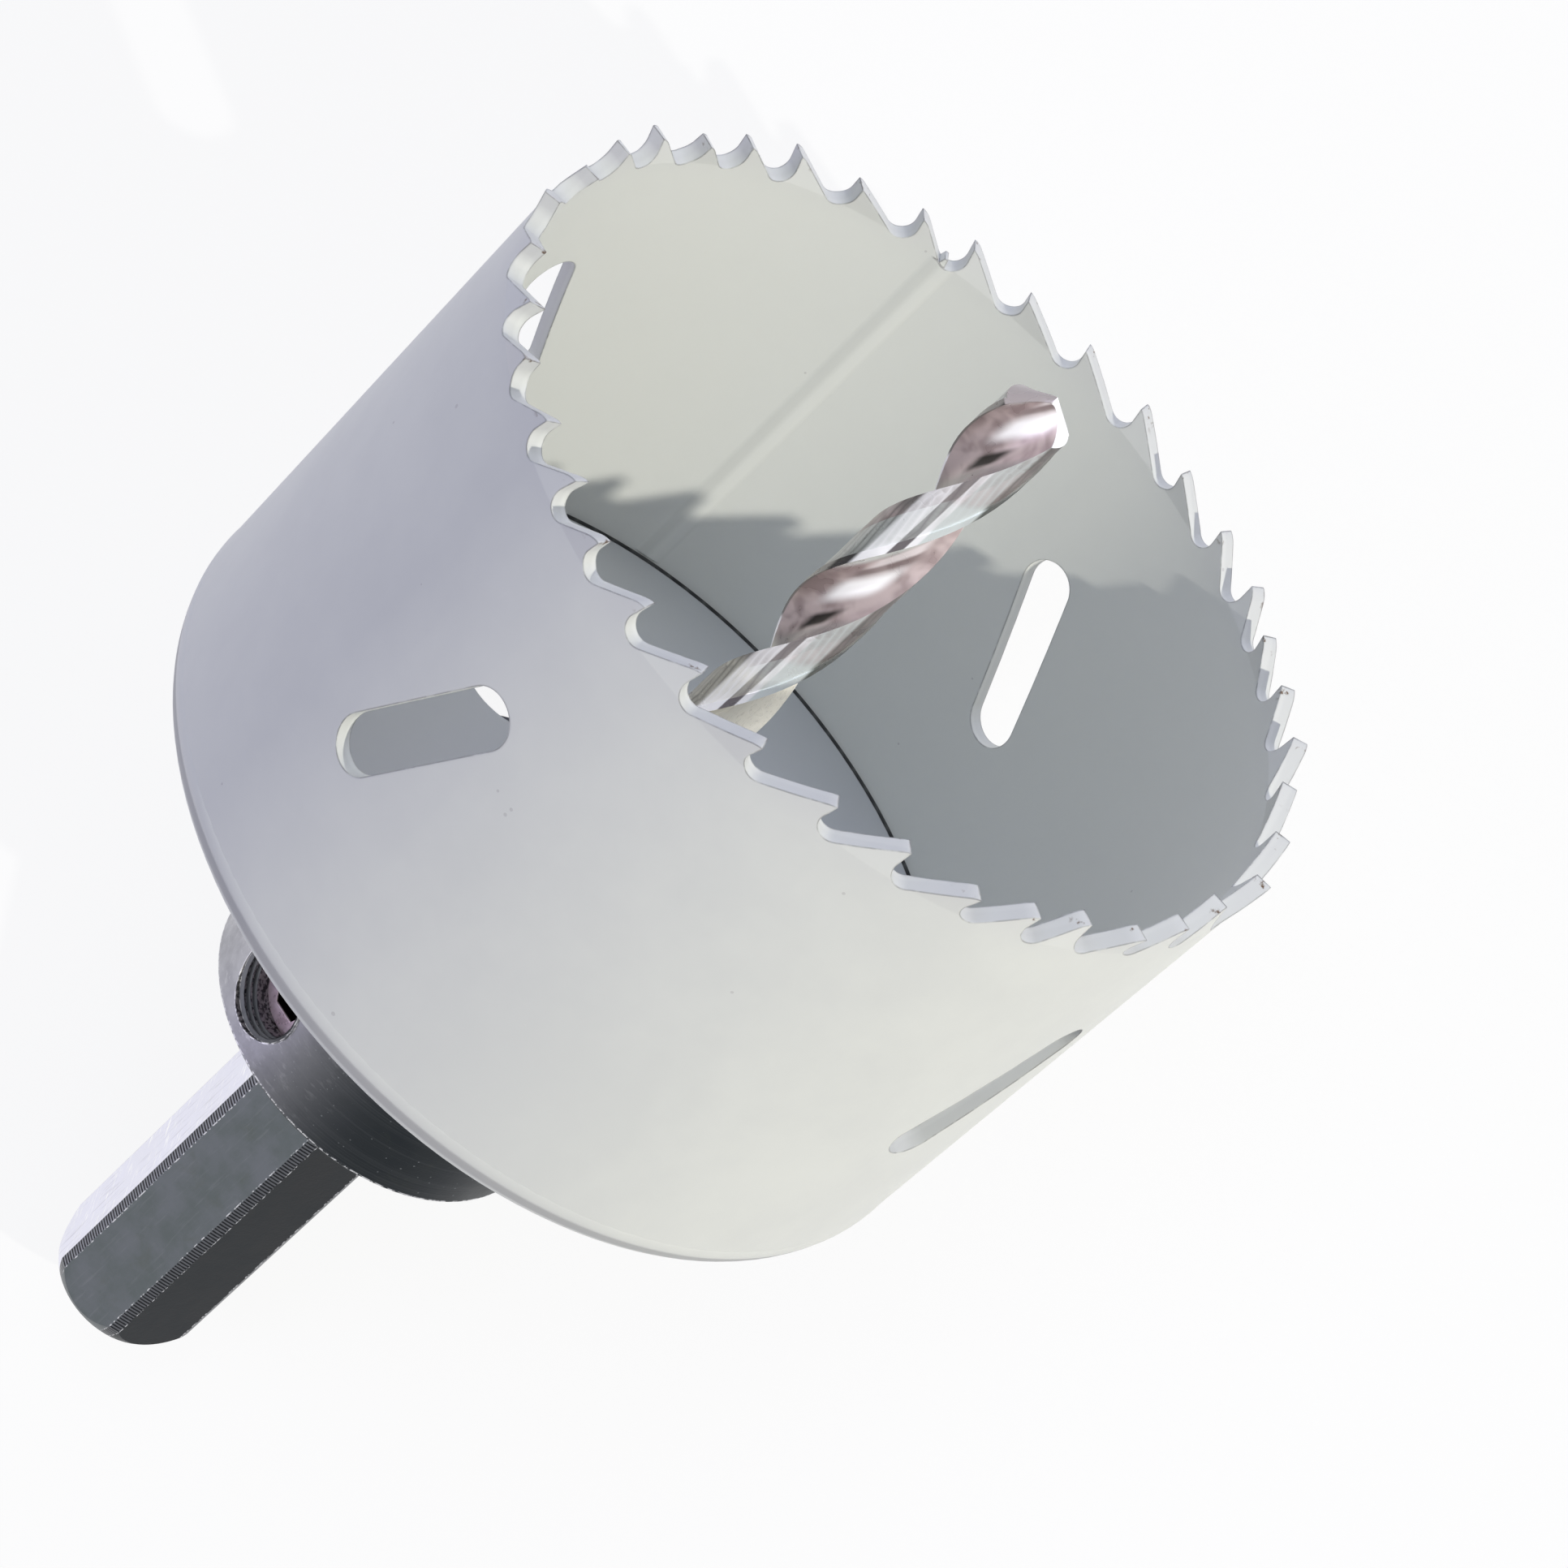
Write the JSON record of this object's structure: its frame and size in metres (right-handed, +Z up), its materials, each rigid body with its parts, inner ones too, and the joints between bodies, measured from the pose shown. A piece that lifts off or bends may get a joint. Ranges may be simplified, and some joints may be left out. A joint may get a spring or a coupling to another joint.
{
  "type": "hole saw",
  "caption": "Toothed cup on a hexagonal-shank arbor, with slanted slots in its wall and a pilot drill on its axis, lying on its side.",
  "frame": {"origin": "on the floor that the tool lies on, under the middle of its length", "axes": "+Z up from the floor; +X towards the teeth, 24.36 degrees below the tool's own axis; +Y across the tool"},
  "size_m": [0.1118, 0.0684, 0.0793],
  "materials": {
    "cup_paint": "satin grey-white paint over steel",
    "arbor_steel": "dark oiled steel with bright worn edges",
    "screw_steel": "bare steel",
    "drill_steel": "bright ground steel"
  },
  "bodies": {
    "root": {"saw_cup": "cup_paint", "end_cap": "cup_paint", "arbor": "arbor_steel", "set_screw": "screw_steel", "pilot_drill": "drill_steel"}
  },
  "joints": []
}
